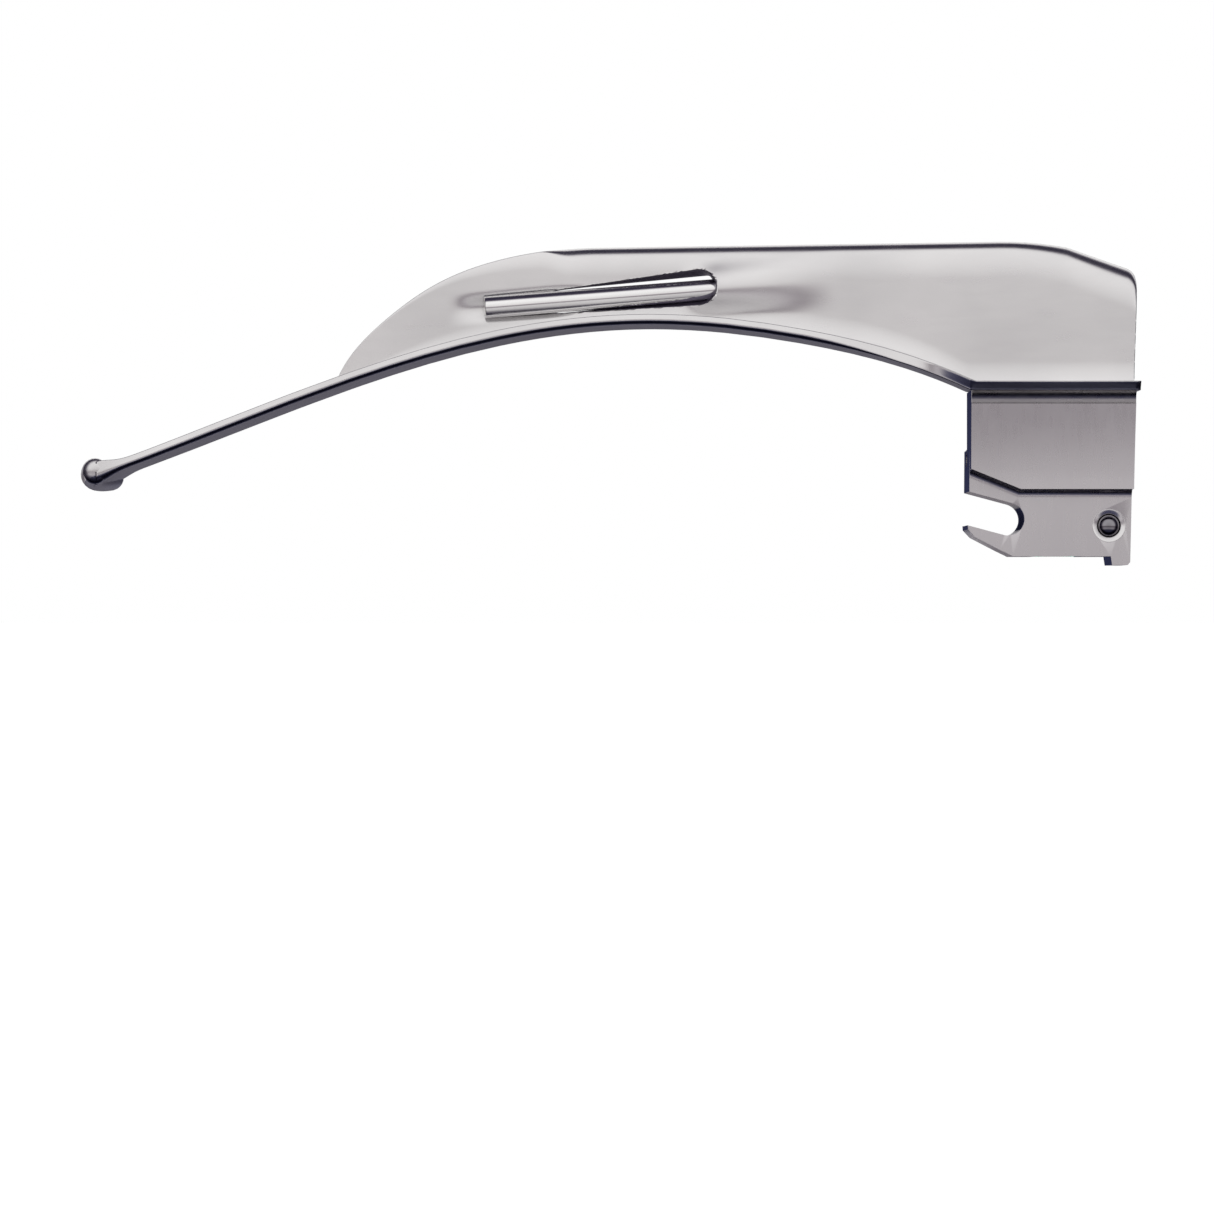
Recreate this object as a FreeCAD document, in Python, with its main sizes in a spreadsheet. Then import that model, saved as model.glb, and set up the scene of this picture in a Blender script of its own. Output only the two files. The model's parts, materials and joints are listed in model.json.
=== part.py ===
"""Curved (Macintosh) laryngoscope blade, size 4, with a removable fibre light guide.

Frame: millimetres, +X towards the heel, +Z up out of the tongue side, -Y towards the
viewing side. The origin is on the axis of the hook seat, midway across the fitting.
"""
import FreeCAD
import Part
import Sketcher
import math
import os

from FreeCAD import Placement, Rotation, Vector

DOC = FreeCAD.newDocument("laryngoscope_blade")

# Driving dimensions: alias, millimetres or degrees, meaning.
DIMENSIONS = [
    ("fitting_width", 10.8, "hook fitting, across, centred on Y = 0"),
    ("seat_radius", 2.45, "hook seat on the handle's pin"),
    ("slot_tilt", 15.0, "hook slot, opens distally and upwards"),
    ("heel_distal", -5.7, "distal face of the heel"),
    ("heel_proximal", 18.75, "proximal face at the top of the heel"),
    ("fitting_proximal", 18.2, "proximal face at the bottom of the fitting"),
    ("fitting_bottom", -5.55, "lower edge of the fitting"),
    ("finger_reach", 5.55, "lower finger of the hook, along the slot"),
    ("fitting_top", 11.5, "top of the rear cheek face"),
    ("lug_bottom", -6.85, "underside of the proximal stop lug"),
    ("lug_distal", 15.5, "distal side of the stop lug"),
    ("heel_top", 19.0, "top of the heel, where the blade sits"),
    ("step_low", 4.4, "front step down to the fitting, straight part"),
    ("step_high", 7.4, "front step at the distal face"),
    ("step_corner", 1.7, "where the slanted part of the step ends"),
    ("step_cove", 1.2, "cutter radius left in the step's inner corner"),
    ("heel_front", -8.4, "front face of the heel, at its foot"),
    ("heel_flare", 0.6, "how far that face leans out at its top"),
    ("cove_height", 1.8, "braze cove under the ledge"),
    ("cove_inset", 0.2, "upward lip where the cove starts"),
    ("heel_back", 0.3, "rear face of the heel above the fitting"),
    ("web_front", -3.5, "viewing face of the web"),
    ("web_thickness", 1.2, "sheet of the web"),
    ("spatula_edge", -17.6, "free edge of the spatula, distal half"),
    ("ledge_edge", -10.4, "free edge of the spatula over the heel"),
    ("spatula_thickness", 1.5, "sheet of the spatula"),
    ("bead_radius", 1.9, "rolled tip"),
    ("flange_edge", 6.1, "free edge of the flange"),
    ("flange_thickness", 1.0, "sheet of the flange"),
    ("bend_radius", 0.9, "outside of the bend between web and flange"),
    ("tunnel_radius", 2.5, "outside of the pressed tunnel round the tube"),
    ("passage_radius", 1.8, "clear passage for the tube"),
    ("window_height", 5.4, "slot in the web"),
    ("window_length", 25.4, "slot in the web, between its round ends' tips"),
    ("guide_x", 7.6, "axis of the tube where it leaves the block"),
    ("guide_y", 2.1, "the same, across"),
    ("guide_yaw", 4.5, "plane of the bent tube, turned about Z"),
    ("tube_slope", 4.7, "fall of the tube's straight run"),
    ("tube_corner", 38.6, "height where the two straight runs would meet"),
    ("tube_bend", 16.0, "bend radius on the axis"),
    ("tube_radius", 1.6, "outside of the steel tube"),
    ("tube_bore", 1.28, "inside of the steel tube"),
    ("tube_start", 3.5, "lower end of the tube, inside the block"),
    ("tube_reach", 85.8, "from the block's axis to the tip, along the plane"),
    ("block_width", 6.4, "green block, along X"),
    ("block_front", -4.3, "front face of the block"),
    ("block_top", 11.6, "top face of the block"),
    ("block_bottom", -5.5, "bottom face of the block"),
    ("block_gap", 0.25, "space between the block and its slot"),
    ("ferrule_radius", 2.6, "outside of the input ferrule"),
    ("input_radius", 2.1, "polished input face of the fibres"),
    ("ferrule_top", -0.4, "upper end of the ferrule"),
    ("detent_x", 15.05, "cross bore of the ball detents"),
    ("detent_z", -0.97, "the same, height"),
    ("detent_bore", 2.05, "bore that the balls slide in"),
    ("ring_radius", 2.5, "outside of the retaining ring"),
    ("ring_lip", 1.75, "opening of the retaining ring"),
    ("ring_thickness", 0.35, "thickness of the retaining ring"),
    ("ball_radius", 1.95, "detent ball"),
    ("ball_inset", 3.97, "ball centre from the middle of the fitting"),
    ("spring_radius", 1.3, "mean radius of the detent spring"),
    ("spring_wire", 0.2, "radius of the spring wire"),
    ("pin_radius", 1.18, "outside of the slotted retaining pin"),
    ("pin_bore", 0.8, "inside of the retaining pin"),
    ("pin_length", 9.3, "retaining pin"),
    ("pin_nose", 5.75, "proximal end of the retaining pin"),
    ("pin_height", 9.0, "axis of the retaining pin"),
    ("pin_y", 0.6, "the same, across"),
]

# Underside of the spatula where the web stands on it, from tip to heel (x, z).
UNDERSIDE = [
    (-134.8, 5.55),
    (-114.5, 13.19),
    (-96.6, 19.91),
    (-75.7, 25.93),
    (-53.3, 28.42),
    (-30.9, 26.33),
    (-15.2, 22.6),
    (-5.9, 19.0),
]

# How far the ledge reaches past the heel's proximal face.
LEDGE_OVERHANG = 0.55

# Tip bead: its middle, how far its front and rear corners stand back and up, and the plate's
# last full section.
TIP_X = -135.3
TIP_LIFT = 0.55
FRONT_BACK, FRONT_UP = 0.5, 0.75
REAR_BACK, REAR_UP = 1.4, 0.1
TIP_SHOULDER = -129.0

# Distal outline of the web, from the spatula up to the straight top edge (x, z).
DISTAL_OUTLINE = [
    (-100.2, 20.4),
    (-98.6, 23.5),
    (-92.8, 29.75),
    (-84.6, 35.45),
    (-75.7, 38.75),
    (-62.0, 40.65),
]

# Top edge of the web from there to the proximal corner (x, z).
TOP_EDGE = [(-62.0, 40.65), (-1.0, 41.6), (9.2, 40.75), (18.2, 37.65)]
TOP_CREST = (4.1, 41.42)
WEB_CORNER = (19.5, 35.9)
WEB_FOOT_X = 18.9

# Underside of the hook's lower finger, from its tip, and where the fitting's foot starts.
FINGER = [(-5.95, -1.55), (-4.9, -2.68), (-1.2, -4.6)]
FITTING_FOOT = 0.75

# Length over which the web is pressed out at each end of its window.
PRESSED_RUN = 14.0

# Clear passage of the tube beyond the middle of the window, and the window's middle over the tube.
PASSAGE_REACH = 24.4
WINDOW_LIFT = 0.25


def make_sheet():
    """Puts the driving dimensions into the document's spreadsheet."""
    sheet = DOC.addObject("Spreadsheet::Sheet", "Dims")
    for row, (alias, value, note) in enumerate(DIMENSIONS, start=1):
        sheet.set(f"A{row}", note)
        sheet.set(f"B{row}", str(value))
        sheet.setAlias(f"B{row}", alias)
    DOC.recompute()
    return sheet


SHEET = make_sheet()


def cell(alias):
    """Value of one driving dimension."""
    return float(getattr(SHEET, alias))


def new_body(label):
    body = DOC.addObject("PartDesign::Body", label)
    body.Label = label
    return body


def plane_of(body, role):
    return next(item for item in body.Origin.OriginFeatures if item.Role == role)


def new_sketch(body, name, role, offset=None):
    """Sketch on an origin plane; offset is an expression along the plane's normal."""
    sketch = body.newObject("Sketcher::SketchObject", name)
    sketch.AttachmentSupport = [(plane_of(body, role), "")]
    sketch.MapMode = "FlatFace"
    if offset:
        sketch.setExpression("AttachmentOffset.Base.z", offset)
    return sketch


def pin_point(sketch, edge, end, x_cell, y_cell):
    """Ties a sketch point to two cells of the sheet."""
    for kind, alias in (("DistanceX", x_cell), ("DistanceY", y_cell)):
        index = sketch.addConstraint(Sketcher.Constraint(kind, edge, end, cell(alias)))
        sketch.setExpression(f"Constraints[{index}]", f"Dims.{alias}")


def add_loop(sketch, points):
    """Closed outline of straight lines through the points."""
    edges = []
    for start, end in zip(points, points[1:] + points[:1]):
        line = Part.LineSegment(Vector(*start, 0), Vector(*end, 0))
        edges.append(sketch.addGeometry(line, False))
    for here, there in zip(edges, edges[1:] + edges[:1]):
        sketch.addConstraint(Sketcher.Constraint("Coincident", here, 2, there, 1))
    return edges


def add_circle(sketch, radius_cell, x_cell=None, y_cell=None):
    """Circle with its radius, and its centre where it isn't the origin, on the sheet."""
    centre = Vector(cell(x_cell) if x_cell else 0, cell(y_cell) if y_cell else 0, 0)
    edge = sketch.addGeometry(Part.Circle(centre, Vector(0, 0, 1), cell(radius_cell)), False)
    index = sketch.addConstraint(Sketcher.Constraint("Radius", edge, cell(radius_cell)))
    sketch.setExpression(f"Constraints[{index}]", f"Dims.{radius_cell}")
    if x_cell:
        pin_point(sketch, edge, 3, x_cell, y_cell)
    else:
        sketch.addConstraint(Sketcher.Constraint("Coincident", edge, 3, -1, 1))
    return edge


def add_pad(body, sketch, length, reverse=False):
    pad = body.newObject("PartDesign::Pad", "Pad_" + sketch.Name)
    pad.Profile = sketch
    pad.setExpression("Length", length)
    pad.Reversed = reverse
    DOC.recompute()
    return pad


def add_pocket(body, sketch, length, reverse=False):
    """Cuts a pocket and makes sure that it took material away."""
    before = body.Shape.Volume
    pocket = body.newObject("PartDesign::Pocket", "Pocket_" + sketch.Name)
    pocket.Profile = sketch
    pocket.setExpression("Length", length)
    pocket.Reversed = reverse
    DOC.recompute()
    if body.Shape.Volume >= before - 0.01:
        raise RuntimeError(pocket.Name + " cuts nothing")
    return pocket


def round_edges(body, name, wanted, radius):
    """Fillet on the edges of a body's tip for which wanted(edge) is true."""
    base = body.Tip
    edges = enumerate(base.Shape.Edges, start=1)
    names = [f"Edge{number}" for number, edge in edges if wanted(edge)]
    fillet = body.newObject("PartDesign::Fillet", name)
    fillet.Base = (base, names)
    fillet.setExpression("Radius", radius)
    DOC.recompute()
    return fillet


def add_feature(label, shape):
    """Free-form piece, for shapes that neither bodies nor primitives suit."""
    feature = DOC.addObject("Part::Feature", label)
    feature.Label = label
    feature.Shape = shape
    feature.Placement = shape.Placement
    return feature


def box(low, high):
    size = [b - a for a, b in zip(low, high)]
    return Part.makeBox(*size, Vector(*low))


def along_y(sketch_shape, start, end):
    """Prism of a face in the XZ plane, between two values of Y."""
    face = sketch_shape.copy()
    face.translate(Vector(0, start, 0))
    return face.extrude(Vector(0, end - start, 0))


def xz(point):
    return Vector(point[0], 0, point[1])


def spline(points):
    curve = Part.BSplineCurve()
    curve.interpolate([xz(point) for point in points])
    return curve


# ---------------------------------------------------------------- hook heel

HALF = cell("fitting_width") / 2
TILT = math.radians(cell("slot_tilt"))
GUIDE_YAW = math.radians(cell("guide_yaw"))
WEB_BACK = cell("web_front") + cell("web_thickness")
COVE_BACK = cell("heel_front") - cell("heel_flare") + cell("cove_inset")


def slot_point(along, side):
    """Point on a wall of the hook slot: side is +1 for the upper wall."""
    reach = side * cell("seat_radius")
    x = -along * math.cos(TILT) + reach * math.sin(TILT)
    z = along * math.sin(TILT) + reach * math.cos(TILT)
    return (x, z)


def heel_block():
    """Machined heel: hook fitting, the wider block over it and the guide's slot."""
    body = new_body("heel_block")
    fitting = new_sketch(body, "FittingOutline", "XZ_Plane", "-Dims.fitting_width / 2")
    upper_root = slot_point(0, 1)
    lower_root = slot_point(0, -1)
    upper_mouth = slot_point((upper_root[0] - cell("heel_distal") + 0.05) / math.cos(TILT), 1)
    lower_mouth = slot_point(cell("finger_reach"), -1)
    rim = [
        lower_root,
        lower_mouth,
        *FINGER,
        (FITTING_FOOT, cell("fitting_bottom")),
        (15.3, cell("fitting_bottom")),
        (cell("lug_distal"), cell("lug_bottom")),
        (cell("fitting_proximal") - 0.35, cell("lug_bottom")),
        (cell("fitting_proximal"), cell("lug_bottom") + 0.45),
        (cell("heel_proximal") - 0.15, cell("fitting_top")),
        (cell("heel_distal") + 1.2, cell("fitting_top")),
        (cell("heel_distal"), cell("fitting_top") - 1.2),
        upper_mouth,
        upper_root,
    ]
    for start, end in zip(rim, rim[1:]):
        fitting.addGeometry(Part.LineSegment(Vector(*start, 0), Vector(*end, 0)), False)
    seat_end = Vector(cell("seat_radius") * math.cos(TILT), -cell("seat_radius") * math.sin(TILT), 0)
    seat = Part.Arc(Vector(*lower_root, 0), seat_end, Vector(*upper_root, 0))
    seat_edge = fitting.addGeometry(seat, False)
    for edge in range(seat_edge - 1):
        fitting.addConstraint(Sketcher.Constraint("Coincident", edge, 2, edge + 1, 1))
    fitting.addConstraint(Sketcher.Constraint("Coincident", seat_edge, 1, 0, 1))
    fitting.addConstraint(Sketcher.Constraint("Coincident", seat_edge, 2, seat_edge - 1, 2))
    add_pad(body, fitting, "Dims.fitting_width")

    upper = new_sketch(body, "HeelOutline", "XZ_Plane", "-Dims.heel_back")
    add_loop(upper, [
        (cell("heel_distal"), cell("heel_top")),
        (cell("heel_distal"), cell("step_high")),
        (cell("step_corner"), cell("step_low")),
        (cell("heel_proximal") - 0.3, cell("step_low")),
        (cell("heel_proximal"), cell("heel_top")),
    ])
    add_pad(body, upper, "Dims.heel_back - Dims.heel_front + Dims.heel_flare + 0.2")

    front = new_sketch(body, "HollowFront", "YZ_Plane", "Dims.heel_distal - 1")
    lip_z = cell("heel_top") - cell("cove_height") - 0.15
    foot = Vector(cell("heel_front"), cell("step_low") - 0.5, 0)
    middle = Vector(cell("heel_front") - cell("heel_flare") * 0.16, (foot.y + lip_z) / 2, 0)
    lip = Vector(cell("heel_front") - cell("heel_flare"), lip_z, 0)
    corners = [
        lip,
        Vector(COVE_BACK, lip_z + 0.15, 0),
        Vector(COVE_BACK, cell("heel_top") + 1, 0),
        Vector(cell("ledge_edge") - 2, cell("heel_top") + 1, 0),
        Vector(cell("ledge_edge") - 2, foot.y, 0),
        foot,
    ]
    for start, end in zip(corners, corners[1:]):
        front.addGeometry(Part.LineSegment(start, end), False)
    hollow = front.addGeometry(Part.Arc(lip, middle, foot), False)
    for edge in range(hollow - 1):
        front.addConstraint(Sketcher.Constraint("Coincident", edge, 2, edge + 1, 1))
    add_pocket(body, front, "Dims.heel_proximal - Dims.heel_distal + 3", True)

    def in_step_corner(edge):
        bounds = edge.BoundBox
        on_fitting = abs(bounds.YMin + HALF) < 0.01 and abs(bounds.YMax + HALF) < 0.01
        return on_fitting and bounds.ZMin > cell("step_low") - 0.01 and bounds.XLength > 1

    round_edges(body, "StepCove", in_step_corner, "Dims.step_cove")

    slot = new_sketch(body, "GuideSlot", "XY_Plane", "Dims.block_top + Dims.block_gap")
    half = cell("block_width") / 2 + cell("block_gap")
    depth = cell("block_front") - cell("block_gap")
    corners = []
    for side, y in ((-1, depth), (1, depth), (1, HALF + 1), (-1, HALF + 1)):
        skew = -(y - cell("guide_y")) * math.tan(GUIDE_YAW)
        corners.append((cell("guide_x") + side * half / math.cos(GUIDE_YAW) + skew, y))
    add_loop(slot, corners)
    add_pocket(body, slot, "Dims.block_top - Dims.block_bottom + 2")

    bore = new_sketch(body, "DetentBore", "XZ_Plane", "-Dims.fitting_width / 2")
    add_circle(bore, "detent_bore", "detent_x", "detent_z")
    add_pocket(body, bore, "Dims.fitting_width", True)
    for name, side in (("RingSeatRear", -1), ("RingSeatFront", 1)):
        seat = new_sketch(body, name, "XZ_Plane", f"{side} * Dims.fitting_width / 2")
        add_circle(seat, "ring_radius", "detent_x", "detent_z")
        add_pocket(body, seat, "Dims.ring_thickness", side < 0)

    hole = new_sketch(body, "PinHole", "YZ_Plane", "Dims.heel_distal - 1")
    add_circle(hole, "pin_radius", "pin_y", "pin_height")
    add_pocket(body, hole, "Dims.guide_x - Dims.heel_distal", True)
    return body


# ---------------------------------------------------------------- blade

def offset_stations(points, distance):
    """The same line of stations, moved square to itself."""
    curve = spline(points)
    moved = []
    for point in points:
        tangent = Vector(*curve.tangent(curve.parameter(xz(point)))[0])
        normal = Vector(-tangent.z, 0, tangent.x)
        place = xz(point) + normal * distance
        moved.append((place.x, place.z))
    return moved


UPPERSIDE = offset_stations(UNDERSIDE, cell("spatula_thickness"))
LEDGE_TOP = UPPERSIDE[-1][1]


def tip_arc():
    """Three points of the tip bead's line: rear corner, middle, front corner."""
    middle = (cell("spatula_edge") + WEB_BACK) / 2
    spread = (WEB_BACK - cell("spatula_edge")) / 2 - cell("bead_radius")
    height = UNDERSIDE[0][1] + TIP_LIFT
    rear = Vector(TIP_X + REAR_BACK, middle + spread, height + REAR_UP)
    tip = Vector(TIP_X, middle, height)
    front = Vector(TIP_X + FRONT_BACK, middle - spread, height + FRONT_UP)
    return rear, tip, front


def spatula():
    """Tongue plate: curved sheet with a rolled tip, and the ledge over the heel."""
    under = spline(UNDERSIDE)
    upper = spline(UPPERSIDE)
    heel_end = cell("heel_proximal") + LEDGE_OVERHANG
    loop = [
        under.toShape(),
        Part.makeLine(xz(UNDERSIDE[-1]), xz((heel_end, cell("heel_top")))),
        Part.makeLine(xz((heel_end, cell("heel_top"))), xz((heel_end, LEDGE_TOP))),
        Part.makeLine(xz((heel_end, LEDGE_TOP)), xz(UPPERSIDE[-1])),
        upper.toShape(),
        Part.makeLine(xz(UPPERSIDE[0]), xz(UNDERSIDE[0])),
    ]
    section = Part.Face(Part.Wire(Part.__sortEdges__(loop)))
    strip = along_y(section, cell("spatula_edge") - 1, WEB_BACK)

    edge = Part.BSplineCurve()
    edge.interpolate([
        Vector(heel_end, cell("ledge_edge"), 0),
        Vector(-6, cell("ledge_edge"), 0),
        Vector(-28, cell("ledge_edge") - 2.6, 0),
        Vector(-52, cell("spatula_edge") + 2.2, 0),
        Vector(-78, cell("spatula_edge"), 0),
        Vector(TIP_SHOULDER, cell("spatula_edge"), 0),
    ])
    rear, tip, front = tip_arc()
    plan = [
        edge.toShape(),
        Part.makePolygon([
            Vector(TIP_SHOULDER, cell("spatula_edge"), 0),
            Vector(front.x, cell("spatula_edge"), 0),
            Vector(tip.x, tip.y, 0),
            Vector(rear.x, WEB_BACK, 0),
            Vector(TIP_SHOULDER, WEB_BACK, 0),
        ]),
        Part.makeLine(Vector(TIP_SHOULDER, WEB_BACK, 0), Vector(heel_end, WEB_BACK, 0)),
        Part.makeLine(Vector(heel_end, WEB_BACK, 0), Vector(heel_end, cell("ledge_edge"), 0)),
    ]
    plan_edges = [edge for item in plan for edge in item.Edges]
    outline = Part.Face(Part.Wire(Part.__sortEdges__(plan_edges)))
    outline.translate(Vector(0, 0, -5))
    sheet = strip.common(outline.extrude(Vector(0, 0, 60)))
    free_edges = [
        item for item in sheet.Edges
        if item.BoundBox.YMax < WEB_BACK - 1 and item.BoundBox.XLength > 40
    ]
    sheet = sheet.makeFillet(cell("spatula_thickness") * 0.42, free_edges)

    path = Part.Wire([Part.Arc(rear, tip, front).toShape()])
    start = Part.Circle(rear, path.Edges[0].tangentAt(path.Edges[0].FirstParameter),
                        cell("bead_radius"))
    bead = path.makePipeShell([Part.Wire([start.toShape()])], True, True)
    caps = [Part.makeSphere(cell("bead_radius"), corner) for corner in (rear, front)]
    return add_feature("spatula", sheet.fuse([bead] + caps).removeSplitter())


def tube_axis():
    """Mid-window point and direction (towards the heel) of the tube's straight run."""
    slope = math.tan(math.radians(cell("tube_slope")))
    reach = (cell("guide_x") + 56.0) / math.cos(GUIDE_YAW)
    point = Vector(
        cell("guide_x") - reach * math.cos(GUIDE_YAW),
        cell("guide_y") - reach * math.sin(GUIDE_YAW),
        cell("tube_corner") - reach * slope,
    )
    direction = Vector(math.cos(GUIDE_YAW), math.sin(GUIDE_YAW), slope).normalize()
    return point, direction


def web():
    """Vertical sheet of the blade with its flange, window and pressed tunnel."""
    corner = [TOP_EDGE[-1], (TOP_EDGE[-1][0] + 0.85, TOP_EDGE[-1][1] - 0.6), WEB_CORNER]
    top = [
        spline(DISTAL_OUTLINE).toShape(),
        Part.makeLine(xz(TOP_EDGE[0]), xz(TOP_EDGE[1])),
        Part.Arc(xz(TOP_EDGE[1]), xz(TOP_CREST), xz(TOP_EDGE[2])).toShape(),
        Part.makeLine(xz(TOP_EDGE[2]), xz(TOP_EDGE[3])),
        Part.Arc(*[xz(point) for point in corner]).toShape(),
    ]
    root = spline(UPPERSIDE)
    first = root.parameter(xz(DISTAL_OUTLINE[0]))
    root.segment(first, root.LastParameter)
    foot = (WEB_FOOT_X, LEDGE_TOP)
    loop = top + [
        Part.makeLine(xz(WEB_CORNER), xz(foot)),
        Part.makeLine(xz(foot), xz(UPPERSIDE[-1])),
        root.toShape(),
        Part.makeLine(root.value(root.FirstParameter), xz(DISTAL_OUTLINE[0])),
    ]
    face = Part.Face(Part.Wire(Part.__sortEdges__(loop)))
    plate = along_y(face, cell("web_front"), WEB_BACK)

    below = face.copy()
    below.translate(Vector(0, 0, -cell("flange_thickness")))
    inside = face.cut(below)
    flange = along_y(inside, WEB_BACK, cell("flange_edge"))
    taper = Part.Face(Part.makePolygon([
        Vector(-101, WEB_BACK - 1, 0),
        Vector(-97, WEB_BACK + 0.8, 0),
        Vector(-70, cell("flange_edge"), 0),
        Vector(25, cell("flange_edge"), 0),
        Vector(25, WEB_BACK - 1, 0),
        Vector(-101, WEB_BACK - 1, 0),
    ]))
    flange = flange.common(taper.extrude(Vector(0, 0, 60)))

    middle, direction = tube_axis()
    half_window = cell("window_length") / 2
    tunnel_from = middle + direction * (half_window - 0.4)
    tunnel = Part.makeCylinder(cell("tunnel_radius"), PRESSED_RUN, tunnel_from, direction)
    tunnel = tunnel.common(box((-80, -12, 20), (0, WEB_BACK, 45)))
    recess_from = middle - direction * (half_window - 0.4)
    recess = Part.makeCylinder(cell("tunnel_radius"), PRESSED_RUN, recess_from, direction * -1)
    recess = recess.common(box((-120, cell("web_front"), 15), (-20, 6, 45)))
    end = middle - direction * PASSAGE_REACH
    nose = Part.makeSphere(cell("passage_radius"), end)
    passage = Part.makeCylinder(cell("passage_radius"), 3 * PASSAGE_REACH, end, direction)

    rise = cell("window_height") / 2
    straight = half_window - rise
    slot = box((-straight, -20, -rise), (straight, 20, rise))
    ends = [
        Part.makeCylinder(rise, 40, Vector(x, -20, 0), Vector(0, 1, 0))
        for x in (-straight, straight)
    ]
    window = slot.fuse(ends)
    window.rotate(Vector(0, 0, 0), Vector(0, 1, 0), -cell("tube_slope"))
    window.translate(Vector(middle.x, 0, middle.z + WINDOW_LIFT))
    sheet = plate.fuse(flange).removeSplitter()
    bend = [
        item for item in sheet.Edges
        if item.BoundBox.YMax < cell("web_front") + 0.01
        and item.BoundBox.ZMax > WEB_CORNER[1] + 0.5
        and item.BoundBox.XMax > -61
    ]
    sheet = sheet.makeFillet(cell("bend_radius"), bend)
    shape = sheet.fuse([tunnel, recess]).cut([passage, nose, window]).removeSplitter()
    return add_feature("web", shape)


def braze_fillet():
    """Cove of silver braze between the ledge and the front of the heel."""
    radius = cell("cove_height")
    low = Vector(0, COVE_BACK, cell("heel_top") - radius)
    centre = Vector(0, COVE_BACK - radius, cell("heel_top") - radius)
    corner = Vector(0, COVE_BACK, cell("heel_top"))
    out = Vector(0, COVE_BACK - radius, cell("heel_top"))
    middle = centre + Vector(0, radius, radius) * math.sqrt(0.5)
    wire = Part.Wire([
        Part.makeLine(low, corner),
        Part.makeLine(corner, out),
        Part.Arc(out, middle, low).toShape(),
    ])
    cove = Part.Face(wire)
    cove.translate(Vector(cell("heel_distal") + 0.05, 0, 0))
    length = cell("heel_proximal") - 0.05 - cell("heel_distal") - 0.05
    return add_feature("braze_fillet", cove.extrude(Vector(length, 0, 0)))


# ---------------------------------------------------------------- detents

def detent_ring(label, side):
    """Staked ring that keeps a ball in the cross bore."""
    body = new_body(label)
    face = new_sketch(body, "Ring_" + label, "XZ_Plane", f"{-side} * Dims.fitting_width / 2")
    add_circle(face, "ring_radius", "detent_x", "detent_z")
    add_circle(face, "ring_lip", "detent_x", "detent_z")
    add_pad(body, face, "Dims.ring_thickness", side < 0)
    return body


def detent_ball(label, side):
    ball = DOC.addObject("Part::Sphere", label)
    ball.Label = label
    ball.setExpression("Radius", "Dims.ball_radius")
    ball.setExpression("Placement.Base.x", "Dims.detent_x")
    ball.setExpression("Placement.Base.y", f"{side} * Dims.ball_inset")
    ball.setExpression("Placement.Base.z", "Dims.detent_z")
    return ball


def detent_spring():
    """Compression spring between the two balls."""
    contact = math.sqrt(cell("ball_radius") ** 2 - cell("spring_radius") ** 2)
    half = cell("ball_inset") - contact - cell("spring_wire") - 0.12
    turns = 6
    helix = Part.makeHelix(2 * half / turns, 2 * half, cell("spring_radius"))
    start = Vector(cell("spring_radius"), 0, 0)
    profile = Part.Wire([Part.Circle(start, Vector(0, 1, 0), cell("spring_wire")).toShape()])
    wire = Part.Wire(helix).makePipeShell([profile], True, True)
    wire.translate(Vector(0, 0, -half))
    wire.rotate(Vector(0, 0, 0), Vector(1, 0, 0), -90)
    wire.translate(Vector(cell("detent_x"), 0, cell("detent_z")))
    return add_feature("detent_spring", wire)


# ---------------------------------------------------------------- light guide

GUIDE_PLACE = Placement(
    Vector(cell("guide_x"), cell("guide_y"), 0),
    Rotation(Vector(0, 0, 1), cell("guide_yaw")),
)


def guide_plane_y(y, x_local):
    """Local y of a face at a given Y, on the local line x."""
    return (y - cell("guide_y") - x_local * math.sin(GUIDE_YAW)) / math.cos(GUIDE_YAW)


def guide_block():
    """Moulded plastic block that carries the tube and fills the heel's slot."""
    body = new_body("guide_block")
    plan = new_sketch(body, "BlockPlan", "XY_Plane", "Dims.block_bottom")
    half = cell("block_width") / 2
    add_loop(plan, [
        (x, guide_plane_y(y, x))
        for x, y in (
            (-half, cell("block_front")),
            (half, cell("block_front")),
            (half, HALF),
            (-half, HALF),
        )
    ])
    add_pad(body, plan, "Dims.block_top - Dims.block_bottom")

    socket = new_sketch(body, "TubeSocket", "XY_Plane", "Dims.block_top")
    add_circle(socket, "tube_radius")
    add_pocket(body, socket, "Dims.block_top - Dims.tube_start")
    seat = new_sketch(body, "FerruleSeat", "XY_Plane", "Dims.block_bottom")
    add_circle(seat, "ferrule_radius")
    add_pocket(body, seat, "Dims.ferrule_top - Dims.block_bottom", True)
    throat = new_sketch(body, "FibreThroat", "XY_Plane", "Dims.tube_start")
    add_circle(throat, "input_radius")
    add_pocket(body, throat, "Dims.tube_start - Dims.ferrule_top")

    groove = new_sketch(body, "PinGroove", "YZ_Plane", "-Dims.block_width / 2")
    reach = cell("pin_radius") + 0.3
    back = guide_plane_y(cell("pin_y"), -half) + reach
    front = guide_plane_y(cell("block_front"), -half) - 1
    add_loop(groove, [
        (front, cell("pin_height") - reach - 0.2),
        (back, cell("pin_height") - reach),
        (back, cell("pin_height") + reach),
        (front, cell("pin_height") + reach + 0.2),
    ])
    add_pocket(body, groove, "1.55", True)
    body.Placement = GUIDE_PLACE
    return body


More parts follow.
